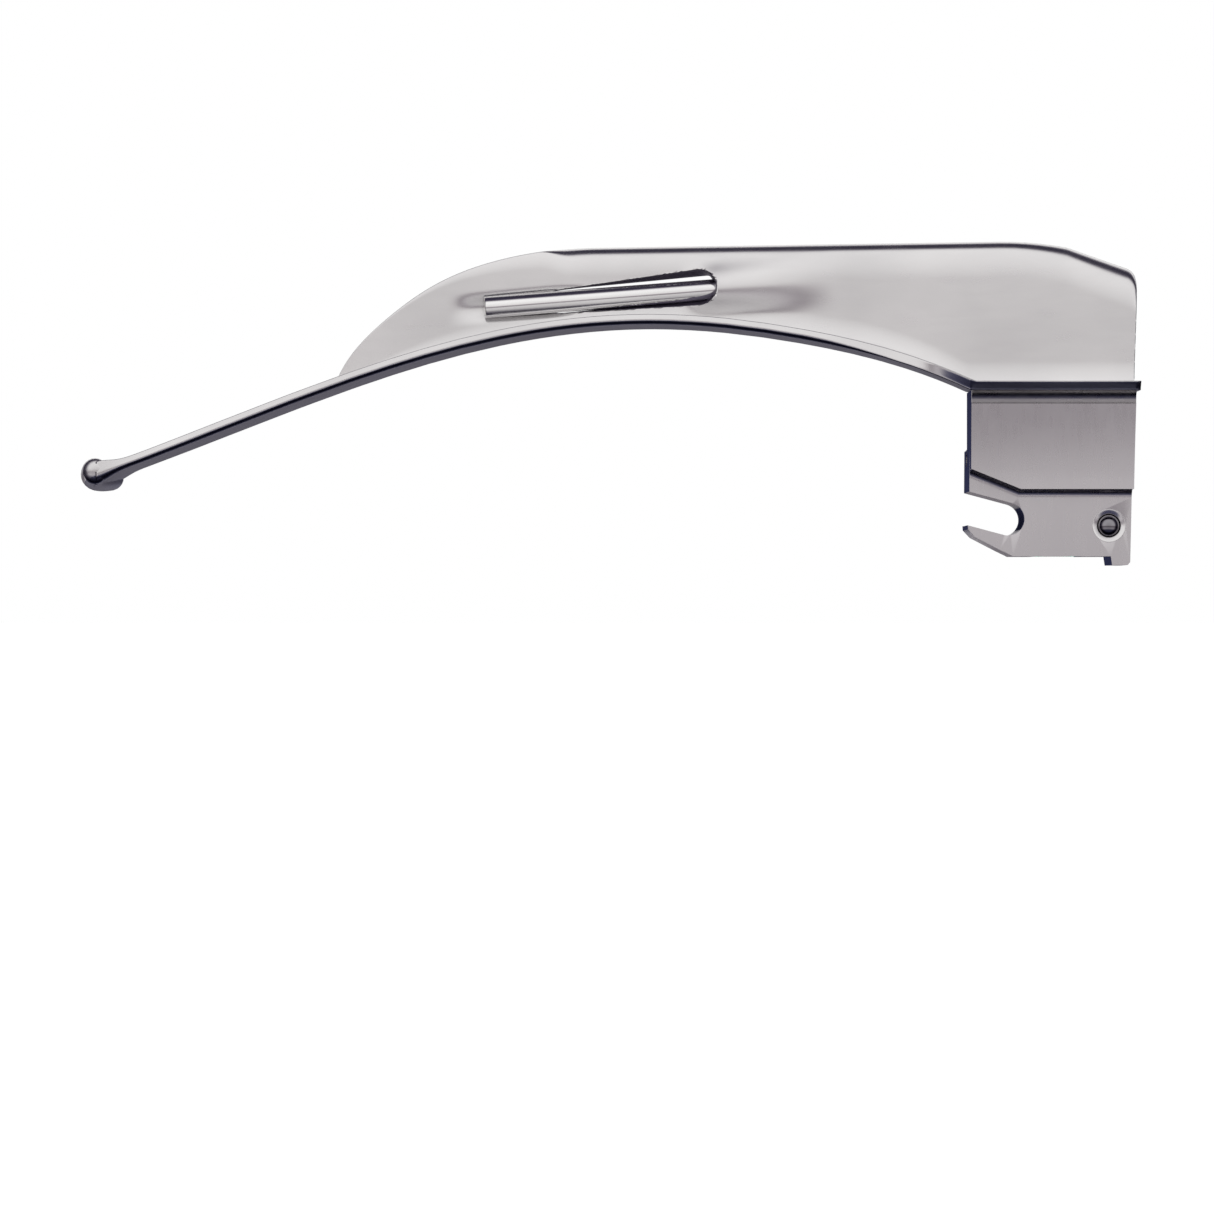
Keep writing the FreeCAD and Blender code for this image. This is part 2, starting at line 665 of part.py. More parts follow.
def tube_route(lower_end):
    """Line, bend and line of the tube's axis in the guide's own plane."""
    slope = math.radians(cell("tube_slope"))
    turn = math.radians(90) + slope
    tangent = cell("tube_bend") * math.tan(turn / 2)
    corner = Vector(0, 0, cell("tube_corner"))
    along = Vector(-math.cos(slope), 0, -math.sin(slope))
    bend_start = corner - Vector(0, 0, tangent)
    bend_end = corner + along * tangent
    centre = bend_start + Vector(-cell("tube_bend"), 0, 0)
    half_way = centre + (corner - centre).normalize() * cell("tube_bend")
    tip = corner + along * (cell("tube_reach") / math.cos(slope))
    return Part.Wire([
        Part.makeLine(Vector(0, 0, lower_end), bend_start),
        Part.Arc(bend_start, half_way, bend_end).toShape(),
        Part.makeLine(bend_end, tip),
    ])


def guide_rod(lower_end, radius):
    """Round rod along the tube's axis."""
    route = tube_route(lower_end)
    ring = Part.Circle(Vector(0, 0, lower_end), Vector(0, 0, 1), radius)
    rod = route.makePipeShell([Part.Wire([ring.toShape()])], True, True)
    expected = math.pi * radius ** 2 * route.Length
    if abs(rod.Volume - expected) > 0.01 * expected:
        raise RuntimeError("the rod's volume doesn't fit its length")
    return rod


def guide_tube():
    outside = guide_rod(cell("tube_start"), cell("tube_radius"))
    shape = outside.cut(guide_rod(cell("tube_start"), cell("tube_bore")))
    shape.Placement = GUIDE_PLACE
    return add_feature("guide_tube", shape)


def fibre_bundle():
    """Glass fibre bundle: wide polished input face, cone, then the tube's bore."""
    fit = 0.02
    wide = cell("input_radius") - fit
    narrow = cell("tube_bore") - fit
    bottom = cell("block_bottom")
    collar = Part.makeCylinder(wide, cell("ferrule_top") - bottom, Vector(0, 0, bottom))
    cone_height = cell("tube_start") - cell("ferrule_top")
    cone = Part.makeCone(wide, narrow, cone_height, Vector(0, 0, cell("ferrule_top")))
    shape = collar.fuse([cone, guide_rod(cell("tube_start"), narrow)]).removeSplitter()
    shape.Placement = GUIDE_PLACE
    return add_feature("fibre_bundle", shape)


def input_ferrule():
    """Steel sleeve round the fibres' input face."""
    body = new_body("input_ferrule")
    ring = new_sketch(body, "FerruleRing", "XY_Plane", "Dims.block_bottom")
    add_circle(ring, "ferrule_radius")
    add_circle(ring, "input_radius")
    add_pad(body, ring, "Dims.ferrule_top - Dims.block_bottom")
    body.Placement = GUIDE_PLACE
    return body


def guide_retaining_pin():
    """Slotted spring pin whose nose runs in the block's side groove."""
    body = new_body("guide_retaining_pin")
    ring = new_sketch(body, "PinSection", "XY_Plane")
    add_circle(ring, "pin_radius")
    add_circle(ring, "pin_bore")
    add_pad(body, ring, "Dims.pin_length")
    slit = new_sketch(body, "PinSlit", "YZ_Plane")
    add_loop(slit, [
        (-0.18, -1),
        (0.18, -1),
        (0.18, cell("pin_length") + 1),
        (-0.18, cell("pin_length") + 1),
    ])
    add_pocket(body, slit, "Dims.pin_radius + 1", True)
    body.Placement = Placement(
        Vector(cell("pin_nose") - cell("pin_length"), cell("pin_y"), cell("pin_height")),
        Rotation(Vector(0, 1, 0), 90),
    )
    return body


def build():
    parts = [
        heel_block(),
        spatula(),
        web(),
        braze_fillet(),
        detent_ring("detent_ring_front", -1),
        detent_ring("detent_ring_rear", 1),
        detent_ball("detent_ball_front", -1),
        detent_ball("detent_ball_rear", 1),
        detent_spring(),
        guide_block(),
        guide_tube(),
        fibre_bundle(),
        input_ferrule(),
        guide_retaining_pin(),
    ]
    DOC.recompute()
    for item in DOC.Objects:
        if "Invalid" in item.State or "Error" in item.State:
            raise RuntimeError(item.Name + " failed")
    os.makedirs("parts", exist_ok=True)
    for item in parts:
        if item.Shape.isNull() or not item.Shape.isValid():
            raise RuntimeError(item.Label + " has a bad shape")
        print(item.Label, len(item.Shape.Solids), round(item.Shape.Volume, 2))
        item.Shape.exportStep("parts/" + item.Label + ".step")


build()
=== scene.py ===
"""Looks of the curved laryngoscope blade: polished sheet, machined heel and green light guide."""
import bmesh
import bpy
import json
import math
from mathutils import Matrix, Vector
from mathutils.bvhtree import BVHTree


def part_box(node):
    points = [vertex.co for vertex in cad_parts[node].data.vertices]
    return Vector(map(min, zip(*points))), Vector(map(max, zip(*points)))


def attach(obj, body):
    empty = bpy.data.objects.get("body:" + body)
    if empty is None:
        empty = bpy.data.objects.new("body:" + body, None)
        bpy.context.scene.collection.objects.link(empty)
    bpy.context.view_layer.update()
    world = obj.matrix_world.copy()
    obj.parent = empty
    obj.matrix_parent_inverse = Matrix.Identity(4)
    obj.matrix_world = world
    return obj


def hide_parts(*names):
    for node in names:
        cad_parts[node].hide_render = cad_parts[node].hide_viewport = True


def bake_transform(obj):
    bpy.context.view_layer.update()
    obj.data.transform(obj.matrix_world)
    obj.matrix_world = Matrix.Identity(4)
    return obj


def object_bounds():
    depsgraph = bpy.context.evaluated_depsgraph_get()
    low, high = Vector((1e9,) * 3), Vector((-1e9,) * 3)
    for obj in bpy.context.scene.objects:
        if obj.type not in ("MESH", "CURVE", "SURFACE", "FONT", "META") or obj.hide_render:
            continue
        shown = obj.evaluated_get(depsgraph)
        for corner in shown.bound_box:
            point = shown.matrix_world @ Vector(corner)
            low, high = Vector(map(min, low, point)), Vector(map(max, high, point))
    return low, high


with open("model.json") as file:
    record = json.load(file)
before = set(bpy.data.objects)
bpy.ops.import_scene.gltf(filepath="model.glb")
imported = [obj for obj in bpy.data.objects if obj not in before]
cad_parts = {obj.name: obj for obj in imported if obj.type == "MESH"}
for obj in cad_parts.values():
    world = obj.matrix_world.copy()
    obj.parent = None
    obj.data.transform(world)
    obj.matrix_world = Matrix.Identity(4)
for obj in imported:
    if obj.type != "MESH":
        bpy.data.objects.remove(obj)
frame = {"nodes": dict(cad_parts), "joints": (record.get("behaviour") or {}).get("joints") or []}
CAD_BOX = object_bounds()
NODES = frame["nodes"]
MM = 0.001

WEB_LOW, WEB_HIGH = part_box("web")
PLATE_LOW, PLATE_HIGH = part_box("spatula")
HEEL_LOW, HEEL_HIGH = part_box("heel_block")
TUBE_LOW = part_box("guide_tube")[0]


# ---------------------------------------------------------------- materials

# Painted shade: near-black colour for faces that look towards the tip.
TIP_FACE_PAINTED_SHADE = (0.02, 0.022, 0.05)


class Nodes:
    """Small helper that adds and links shader nodes."""

    def __init__(self, material):
        material.use_nodes = True
        self.tree = material.node_tree
        self.shader = self.tree.nodes["Principled BSDF"]

    def add(self, kind, **values):
        node = self.tree.nodes.new(kind)
        for name, value in values.items():
            if hasattr(node, name):
                setattr(node, name, value)
            else:
                node.inputs[name.replace("_", " ")].default_value = value
        return node

    def link(self, source, target):
        self.tree.links.new(source, target)

    def place(self, scale):
        """Object coordinates, stretched by scale."""
        coordinates = self.add("ShaderNodeTexCoord")
        mapping = self.add("ShaderNodeMapping")
        mapping.inputs["Scale"].default_value = scale
        self.link(coordinates.outputs["Object"], mapping.inputs["Vector"])
        return mapping.outputs["Vector"]

    def noise(self, scale, size, detail=4.0):
        node = self.add("ShaderNodeTexNoise")
        node.inputs["Scale"].default_value = size
        node.inputs["Detail"].default_value = detail
        self.link(self.place(scale), node.inputs["Vector"])
        return node.outputs["Fac"]

    def spread(self, value, low, high, from_low=0.3, from_high=0.7):
        node = self.add("ShaderNodeMapRange")
        node.inputs["From Min"].default_value = from_low
        node.inputs["From Max"].default_value = from_high
        node.inputs["To Min"].default_value = low
        node.inputs["To Max"].default_value = high
        self.link(value, node.inputs["Value"])
        return node.outputs["Result"]

    def tint(self, value, dark, light):
        node = self.add("ShaderNodeMix", data_type="RGBA")
        node.inputs["A"].default_value = (*dark, 1)
        node.inputs["B"].default_value = (*light, 1)
        self.link(value, node.inputs["Factor"])
        return node.outputs["Result"]

    def paint_shade_towards_tip(self, colour):
        """The colour, with painted shade on faces that look along -X: near-black, not metallic and
        without specular.
        """
        facing = self.add("ShaderNodeSeparateXYZ")
        self.link(self.add("ShaderNodeTexCoord").outputs["Normal"], facing.inputs["Vector"])
        node = self.add("ShaderNodeMix", data_type="RGBA")
        node.inputs["B"].default_value = (*TIP_FACE_PAINTED_SHADE, 1)
        self.link(colour, node.inputs["A"])
        self.link(self.spread(facing.outputs["X"], 1, 0, -0.75, -0.45), node.inputs["Factor"])
        sheen = self.spread(facing.outputs["X"], 0, 1, -0.75, -0.45)
        self.link(sheen, self.shader.inputs["Metallic"])
        self.link(sheen, self.shader.inputs["Specular IOR Level"])
        return node.outputs["Result"]

    def bump(self, heights, distance):
        """Chained bumps: heights is a list of (value, strength)."""
        normal = None
        for value, strength in heights:
            node = self.add("ShaderNodeBump")
            node.inputs["Strength"].default_value = strength
            node.inputs["Distance"].default_value = distance
            self.link(value, node.inputs["Height"])
            if normal:
                self.link(normal, node.inputs["Normal"])
            normal = node.outputs["Normal"]
        self.link(normal, self.shader.inputs["Normal"])


def steel(name, dark, light, rough, grain, grain_strength, haze=0.1, tip_faces_painted_dark=False):
    """Stainless steel: fine grain along one direction, haze of handling, slow waviness.

    Optionally the faces towards the tip get painted shade: a near-black, dull colour.
    """
    material = bpy.data.materials.new(name)
    kit = Nodes(material)
    kit.shader.inputs["Metallic"].default_value = 1.0
    slow = kit.noise((1, 1, 1), 55.0, 2.0)
    lines = kit.noise(grain, 700.0, 2.0)
    smear = kit.noise((1, 1, 2.2), 190.0, 6.0)
    colour = kit.tint(kit.spread(slow, 0, 1), dark, light)
    if tip_faces_painted_dark:
        colour = kit.paint_shade_towards_tip(colour)
    kit.link(colour, kit.shader.inputs["Base Color"])
    mixed = kit.add("ShaderNodeMath", operation="ADD")
    kit.link(kit.spread(lines, rough - haze / 2, rough + haze / 2), mixed.inputs[0])
    kit.link(kit.spread(smear, -haze / 3, haze / 3), mixed.inputs[1])
    kit.link(mixed.outputs["Value"], kit.shader.inputs["Roughness"])
    kit.bump([(lines, grain_strength), (slow, 0.01)], 0.00003)
    return material


def moulded_green():
    """Satin moulded plastic with a fine spark-eroded texture and a slight mottle."""
    material = bpy.data.materials.new("moulded_green")
    kit = Nodes(material)
    mottle = kit.noise((1, 1, 0.6), 160.0, 3.0)
    grain = kit.noise((1, 1, 1), 5200.0, 3.0)
    green = kit.tint(kit.spread(mottle, 0, 1), (0.012, 0.40, 0.225), (0.035, 0.47, 0.29))
    kit.link(green, kit.shader.inputs["Base Color"])
    kit.link(kit.spread(grain, 0.38, 0.52), kit.shader.inputs["Roughness"])
    kit.shader.inputs["IOR"].default_value = 1.5
    kit.shader.inputs["Subsurface Weight"].default_value = 0.06
    kit.shader.inputs["Subsurface Scale"].default_value = 0.001
    kit.bump([(grain, 0.12), (mottle, 0.06)], 0.00004)
    return material


def fibre_face():
    """Polished ends of thousands of glass fibres: a cell pattern under a clear surface."""
    material = bpy.data.materials.new("fibre_face")
    kit = Nodes(material)
    cells = kit.add("ShaderNodeTexVoronoi")
    cells.inputs["Scale"].default_value = 9000.0
    kit.link(kit.place((1, 1, 1)), cells.inputs["Vector"])
    shade = kit.tint(kit.spread(cells.outputs["Distance"], 0, 1, 0.1, 0.7),
                     (0.86, 0.83, 0.70), (0.30, 0.27, 0.20))
    kit.link(shade, kit.shader.inputs["Base Color"])
    kit.shader.inputs["Roughness"].default_value = 0.08
    kit.shader.inputs["IOR"].default_value = 1.55
    kit.shader.inputs["Coat Weight"].default_value = 0.6
    return material


MATERIALS = {
    "blade": steel("satin_blade_steel", (0.66, 0.652, 0.655), (0.745, 0.735, 0.735),
                   0.25, (0.3, 1, 1.4), 0.008, 0.04),
    # Machined heel steel, its colour kept darker than the sheet's as painted shade.
    "heel": steel("machined_heel_steel_painted_darker", (0.55, 0.53, 0.545), (0.60, 0.58, 0.595),
                  0.28, (1.7, 1, 0.25), 0.006, 0.04, tip_faces_painted_dark=True),
    # Painted shade: dark bluish dull steel for undersides and rolled-under edges.
    "underside": steel("painted_shade_underside_steel", (0.15, 0.155, 0.22), (0.20, 0.205, 0.28),
                       0.36, (1, 1, 1), 0.02, 0.05),
    # Painted shade: near-black dull steel for the lip round the window, where the gap lies in shade.
    "channel": steel("painted_shade_channel_steel", (0.10, 0.09, 0.13), (0.17, 0.15, 0.20),
                     0.42, (0.35, 1, 1.6), 0.03, 0.08),
    "ring": steel("turned_ring_steel", (0.64, 0.63, 0.635), (0.74, 0.73, 0.73),
                  0.2, (1, 0.3, 1), 0.05, 0.05),
    # Painted shade: the polished balls are coloured dark in place of the dark surroundings they would
    # mirror.
    "ball": steel("ball_steel_painted_dark", (0.22, 0.21, 0.23), (0.28, 0.27, 0.29),
                  0.05, (1, 1, 1), 0.02, 0.03),
    "tube": steel("polished_tube_steel", (0.78, 0.775, 0.775), (0.86, 0.855, 0.85),
                  0.12, (0.25, 1, 1), 0.03, 0.04),
    # Braze filler, its silver toned down to grey as painted shade for the dark band under the ledge.
    "braze": steel("braze_silver", (0.40, 0.39, 0.40), (0.48, 0.47, 0.47),
                   0.3, (1, 1, 1), 0.05, 0.08),
    "pin": steel("spring_pin_steel", (0.50, 0.49, 0.50), (0.62, 0.61, 0.61),
                 0.25, (0.2, 1, 1), 0.06, 0.06),
    "green": moulded_green(),
    "fibre": fibre_face(),
}

NODE_MATERIALS = {
    "heel_block": "heel",
    "spatula": "blade",
    "web": "blade",
    "braze_fillet": "braze",
    "detent_ring_front": "ring",
    "detent_ring_rear": "ring",
    "detent_ball_front": "ball",
    "detent_ball_rear": "ball",
    "detent_spring": "pin",
    "guide_block": "green",
    "guide_tube": "tube",
    "fibre_bundle": "fibre",
    "input_ferrule": "ring",
    "guide_retaining_pin": "pin",
}


def dress(piece, material):
    """Gives a piece one material."""
    piece.data.materials.clear()
    piece.data.materials.append(MATERIALS[material])


def soften(piece, width, segments=3, angle=30.0):
    """Rounds the broken edges of a machined or moulded piece."""
    weld = piece.modifiers.new("weld", "WELD")
    weld.merge_threshold = 0.000002
    bevel = piece.modifiers.new("edges", "BEVEL")
    bevel.width = width
    bevel.segments = segments
    bevel.limit_method = "ANGLE"
    bevel.angle_limit = math.radians(angle)
    normals = piece.modifiers.new("normals", "WEIGHTED_NORMAL")
    normals.weight = 80


for node_name, material_name in NODE_MATERIALS.items():
    dress(NODES[node_name], material_name)

soften(NODES["heel_block"], 0.3 * MM)
soften(NODES["guide_block"], 0.3 * MM)


# ---------------------------------------------------------------- reading the frame

def tree_of(node):
    """Search tree of a CAD node, for reading its surface."""
    mesh = NODES[node].data
    points = [vertex.co.copy() for vertex in mesh.vertices]
    return BVHTree.FromPolygons(points, [tuple(face.vertices) for face in mesh.polygons])


PLATE_TREE = tree_of("spatula")
WEB_TREE = tree_of("web")


def touch(tree, start, direction):
    """First point of a CAD surface along a ray, or None."""
    return tree.ray_cast(Vector(start), Vector(direction))[0]


# ---------------------------------------------------------------- mesh helpers

def new_piece(name, bm, material, body, replaced):
    """Turns a bmesh into a smooth piece that rides on a body, if one is named, and replaces a node."""
    bmesh.ops.recalc_face_normals(bm, faces=bm.faces)
    if bm.calc_volume(signed=True) < 0:
        bmesh.ops.reverse_faces(bm, faces=bm.faces)
    mesh = bpy.data.meshes.new(name)
    bm.to_mesh(mesh)
    bm.free()
    for face in mesh.polygons:
        face.use_smooth = True
    piece = bpy.data.objects.new(name, mesh)
    bpy.context.scene.collection.objects.link(piece)
    dress(piece, material)
    if body:
        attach(piece, body)
    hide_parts(replaced)
    return piece


def loft(rings, closed=False):
    """Skin of quads over rings that have the same number of points, capped unless closed."""
    bm = bmesh.new()
    rows = [[bm.verts.new(point) for point in ring] for ring in rings]
    count = len(rings[0])
    pairs = list(zip(rows, rows[1:]))
    if closed:
        pairs.append((rows[-1], rows[0]))
    for here, there in pairs:
        for index in range(count):
            after = (index + 1) % count
            bm.faces.new((here[index], here[after], there[after], there[index]))
    if not closed:
        bm.faces.new(rows[0][::-1])
        bm.faces.new(rows[-1])
    return bm


def arc(centre, radius, start, end, steps):
    """Points (y, z) of an arc, angles in degrees from +y towards +z."""
    points = []
    for step in range(steps + 1):
        angle = math.radians(start + (end - start) * step / steps)
        points.append((centre[0] + radius * math.cos(angle), centre[1] + radius * math.sin(angle)))
    return points


def straight(start, end, steps):
    """Points strictly between two ends."""
    return [
        (start[0] + (end[0] - start[0]) * step / steps, start[1] + (end[1] - start[1]) * step / steps)
        for step in range(1, steps)
    ]


def smoothstep(value, low, high):
    """0 below low, 1 above high, and a smooth rise between."""
    share = min(max((value - low) / (high - low), 0.0), 1.0)
    return share * share * (3 - 2 * share)


# ---------------------------------------------------------------- light guide's axis

SWING = next(joint for joint in frame["joints"] if joint["name"] == "guide_swing")
AXIS_POINT = Vector(SWING["pos_m"])
AXIS = Vector(SWING["axis"]).normalized()
FERRULE_LOW, FERRULE_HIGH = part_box("input_ferrule")
GUIDE_FOOT = (FERRULE_LOW + FERRULE_HIGH) / 2
TUBE_RADIUS = 1.6 * MM
TUBE_BORE = 1.28 * MM
TUBE_BEND = 16.0 * MM
TUBE_GAP = 0.2 * MM


def axis_at(x):
    """Point of the tube's straight axis at a given x."""
    return AXIS_POINT + AXIS * ((x - AXIS_POINT.x) / AXIS.x)


# ---------------------------------------------------------------- blade

# Web: its sheet, its bends at foot and head, and the flange along its top.
WEB_FRONT = -3.5 * MM
WEB_BACK = WEB_FRONT + 1.2 * MM
WEB_END_INSET = 0.35 * MM
WEB_CORNER = 0.35 * MM
LEAN_START = 12 * MM
FULL_HEIGHT = 16 * MM
BEND = 2.0 * MM
SHEARED = 0.12 * MM
HEEL_BEND = 0.9 * MM
INNER_BEND = 0.7 * MM
ROOT_FILLET = 2.0 * MM
SLOW_ROOT = 10.0 * MM
SLOW_BEND = 14.0 * MM
SLOW_TURN = 16.0
BEND_STEPS = 9
FACE_STEPS = 26
BACK_STEPS = 34
FLANGE = 1.0 * MM
FLANGE_START = AXIS_POINT.x - 14 * MM

# Window over the tube's end and the sheet pressed aside on both sides of it.
WINDOW_HALF = 12.7 * MM
WINDOW_RADIUS = 2.7 * MM
WINDOW_RISE = 0.5 * MM
WINDOW_STEPS = 24
WINDOW_PIECE = 0.5 * MM
LIP_WALL = 0.3 * MM
LIP_DEPTH = 0.35 * MM
BULGE_HALF = 5.0 * MM
DENT_HALF = 2.5 * MM
DENT_FADE = 4 * MM

# Tongue plate: its dish, its rolled long edge and the ledge over the heel.
PLATE_MIDDLE_Y = -6.0 * MM
SHEET = 0.85 * MM
HEEL_SHEET = 0.3 * MM
ROLL_STEPS = 10
EDGE_STEPS = 6
TOP_STEPS = 24
BOTTOM_STEPS = 16
ROLL_SHARE = 0.5
LEDGE_ROLL_SHARE = 0.12
ROLL_TUCK = 1.4
TOP_ROUND_SHARE = 0.09
SIT_BACK = 0.14 * MM
DISH_SHARE = 0.72
LEDGE_LEAN = 0.75 * MM
LEDGE_START = HEEL_LOW.x - 9 * MM
LEDGE_FULL = HEEL_LOW.x - 0.5 * MM
LEDGE_ROLL_START = LEDGE_START - 16 * MM

# Tip: a round bead, and the swelling of the plate into it.
TIP_BEAD = 1.9 * MM
TIP_CAP = 1.3 * MM
TIP_SWELL = 0.85
TIP_FRONT = (0.5 * MM, 0.75 * MM)
TIP_REAR = (1.4 * MM, 0.1 * MM)
TIP_ZONE = 10 * MM
TIP_X = PLATE_LOW.x + TIP_BEAD + 0.06 * MM
TIP_Z = PLATE_LOW.z + TIP_BEAD
TIP_EDGE_X = TIP_X + 8 * MM


def probe_levels(x):
    """Underside and upper side of the CAD plate at x, on its middle line."""
    x = min(x, PLATE_HIGH.x - 0.1 * MM)
    up = touch(PLATE_TREE, (x, PLATE_MIDDLE_Y, -1), (0, 0, 1))
    down = touch(PLATE_TREE, (x, PLATE_MIDDLE_Y, 1), (0, 0, -1))
    return up.z, down.z


def plate_levels(x):
    """Underside and upper side of the plate at x; next to the tip they run on straight."""
    clear = PLATE_LOW.x + 6 * MM
    if x >= clear:
        return probe_levels(x)
    near, far = probe_levels(clear), probe_levels(clear + 4 * MM)
    share = (clear - x) / (4 * MM)
    return tuple(one + (one - two) * share for one, two in zip(near, far))


def dish_at(x):
    """Depth of the plate's hollow at x; none at the tip, deepest over the heel."""
    under, upper = plate_levels(x)
    fade = smoothstep(x, TIP_X, TIP_X + TIP_ZONE)
    over_heel = smoothstep(x, LEDGE_START, LEDGE_FULL)
    sheet = SHEET + (HEEL_SHEET - SHEET) * over_heel
    return (upper - under - sheet) * fade


def web_top(x):
    """Height of the top edge of the web at x."""
    hit = touch(WEB_TREE, (x, WEB_BACK - 0.15 * MM, 1), (0, 0, -1))
    return hit.z if hit else None


def flange_reach(x, top):
    """Free edge of the flange at x."""
    hit = touch(WEB_TREE, (x, 1, top - FLANGE * 0.5), (0, -1, 0))
    return hit.y if hit else WEB_BACK


def pressed(x, z):
    """How far the pressed channel for the tube moves the sheet sideways at a place."""
    centre = axis_at(x)
    along = x - AXIS_POINT.x
    half = BULGE_HALF if along > 0 else DENT_HALF
    away = abs(z - centre.z)
    if away >= half:
        return 0.0
    clear = TUBE_RADIUS + TUBE_GAP
    profile = math.cos(math.pi * away / half / 2) ** 2
    fade = smoothstep(abs(along), WINDOW_HALF * 0.5, WINDOW_HALF)
    if along > 0:
        need = WEB_BACK - (centre.y - clear)
        return -max(need, 0.0) * profile * fade
    need = (centre.y + clear) - WEB_FRONT
    end = TUBE_LOW.x - 1.5 * MM
    return max(need, 0.0) * profile * fade * smoothstep(x, end - DENT_FADE, end)


def two_arcs(slow, quick, turn, steps):
    """Offsets (sideways, along) of a sheet that turns slowly and then quickly through 90 degrees."""
    points = []
    lean = math.radians(turn)
    for step in range(steps + 1):
        angle = lean * step / steps
        points.append((slow * (1 - math.cos(angle)), slow * math.sin(angle)))
    side, along = points[-1]
    for step in range(1, steps + 1):
        angle = lean + (math.pi / 2 - lean) * step / steps
        points.append((
            side + quick * (math.cos(lean) - math.cos(angle)),
            along + quick * (math.sin(angle) - math.sin(lean)),
        ))
    return points


def web_ring(x):
    """Section of the web and flange at x: foot, face, bend, flange and back."""
    under, upper = plate_levels(x)
    root = upper - dish_at(x)
    top = web_top(x)
    height = max(top - root, 0.3 * MM)
    scale = min(height / FULL_HEIGHT, 1.0)
    turned = smoothstep(x, FLANGE_START, FLANGE_START + 5 * MM)
    crowned = smoothstep(x, WEB_LOW.x, FLANGE_START + 12 * MM)
    bend = SHEARED + (BEND - SHEARED + HEEL_BEND * smoothstep(x, 0, HEEL_HIGH.x)) * turned
    bend = min(bend, height * 0.3)
    inner = min(INNER_BEND, height * 0.2)
    thick = min(FLANGE, height * 0.3)
    low = (root + under) / 2
    foot = two_arcs(SLOW_ROOT * scale, ROOT_FILLET * scale, SLOW_TURN, BEND_STEPS)
    head = two_arcs(SLOW_BEND * scale * crowned + SHEARED, bend, SLOW_TURN, BEND_STEPS)
    edge = max(flange_reach(x, top), WEB_FRONT + head[-1][0] + thick * 0.6)
    section = [(WEB_FRONT - foot[-1][0], low)]
    section += [(WEB_FRONT - side, root + foot[-1][1] - along) for side, along in reversed(foot)]
    face_low, face_high = root + foot[-1][1], top - head[-1][1]
    section += straight((WEB_FRONT, face_low), (WEB_FRONT, face_high), FACE_STEPS)
    section += [(WEB_FRONT + side, face_high + along) for side, along in head]
    section += straight((WEB_FRONT + head[-1][0], top), (edge - thick / 2, top), 4)
    section += arc((edge - thick / 2, top - thick / 2), thick / 2, 90, -90, 6)
    section += straight((edge - thick / 2, top - thick), (WEB_BACK + inner, top - thick), 4)
    section += arc((WEB_BACK + inner, top - thick - inner), inner, 90, 180, 5)
    section += straight((WEB_BACK, top - thick - inner), (WEB_BACK, low), BACK_STEPS)
    section += [(WEB_BACK, low)]
    return [
        Vector((x, y + (pressed(x, z) if y < WEB_BACK + 0.1 * MM else 0.0), z))
        for y, z in section
    ]


def even(start, end, step):
    """Values from start to end, evenly spaced and about a step apart."""
    count = max(int(round((end - start) / step)), 1)
    return [start + (end - start) * index / count for index in range(count + 1)]


def make_web():
    """Vertical sheet with its flange; the heel end leans with the CAD's, and the window is cut last."""
    left = WEB_LOW.x + WEB_END_INSET
    right = WEB_HIGH.x - 0.02 * MM
    stations = even(left, left + 8 * MM, 0.25 * MM)[:-1]
    stations += even(left + 8 * MM, right - 2 * MM, 0.6 * MM)[:-1]
    stations += even(right - 2 * MM, right, 0.12 * MM)
    rings = [web_ring(x) for x in stations]
    lean = right - touch(WEB_TREE, (1, WEB_BACK - 0.3 * MM, WEB_LOW.z + 2 * MM), (-1, 0, 0)).x
    top = rings[-1][0].z + (WEB_HIGH.z - WEB_LOW.z) * 0.73
    for ring in rings:
        near = smoothstep(ring[0].x, right - LEAN_START, right)
        for point in ring:
            drop = min(max((top - point.z) / (top - WEB_LOW.z), 0.0), 1.0)
            point.x -= lean * drop * near
    bm = loft(rings)
    bm.faces.ensure_lookup_table()
    ends = {edge for face in bm.faces[-2:] for edge in face.edges}
    bmesh.ops.bevel(bm, geom=list(ends), offset=WEB_CORNER, segments=5, profile=0.5,
                    affect="EDGES", clamp_overlap=True)
    web = new_piece("blade_web", bm, "blade", "blade", "web")
    cutter = window_cutter()
    cut = web.modifiers.new("window", "BOOLEAN")
    cut.operation = "DIFFERENCE"
    cut.solver = "EXACT"
    cut.object = cutter
    apply_modifiers(web)
    bpy.data.objects.remove(cutter)
    round_rims(web, 0.12 * MM, 50)
    apply_modifiers(web)


def window_outline(grow=0.0):
    """Window's outline as (along, across) the tube: round at the heel end, narrow at the tip end."""
    wide, narrow = WINDOW_RADIUS + grow, TUBE_RADIUS + TUBE_GAP + grow
    outline = []
    for side, radius, start in ((1, wide, -90), (-1, narrow, 90)):
        middle = side * (WINDOW_HALF + grow - radius)
        for step in range(WINDOW_STEPS + 1):
            angle = math.radians(start + 180 * step / WINDOW_STEPS)
            outline.append((middle + radius * math.cos(angle), radius * math.sin(angle)))
    smooth = []
    for (one, two), (along, across) in zip(outline, outline[1:] + outline[:1]):
        pieces = max(int(math.hypot(along - one, across - two) / WINDOW_PIECE), 1)
        smooth += [
            (one + (along - one) * piece / pieces, two + (across - two) * piece / pieces)
            for piece in range(pieces)
        ]
    return smooth


def on_window(along, across, y):
    """Place of a window point in the frame."""
    slope = math.atan2(AXIS.z, AXIS.x)
    rise = WINDOW_RISE * (along + WINDOW_HALF) / (2 * WINDOW_HALF)
    return Vector((
        AXIS_POINT.x + along * math.cos(slope) - across * math.sin(slope),
        y,
        AXIS_POINT.z + rise + along * math.sin(slope) + across * math.cos(slope),
    ))


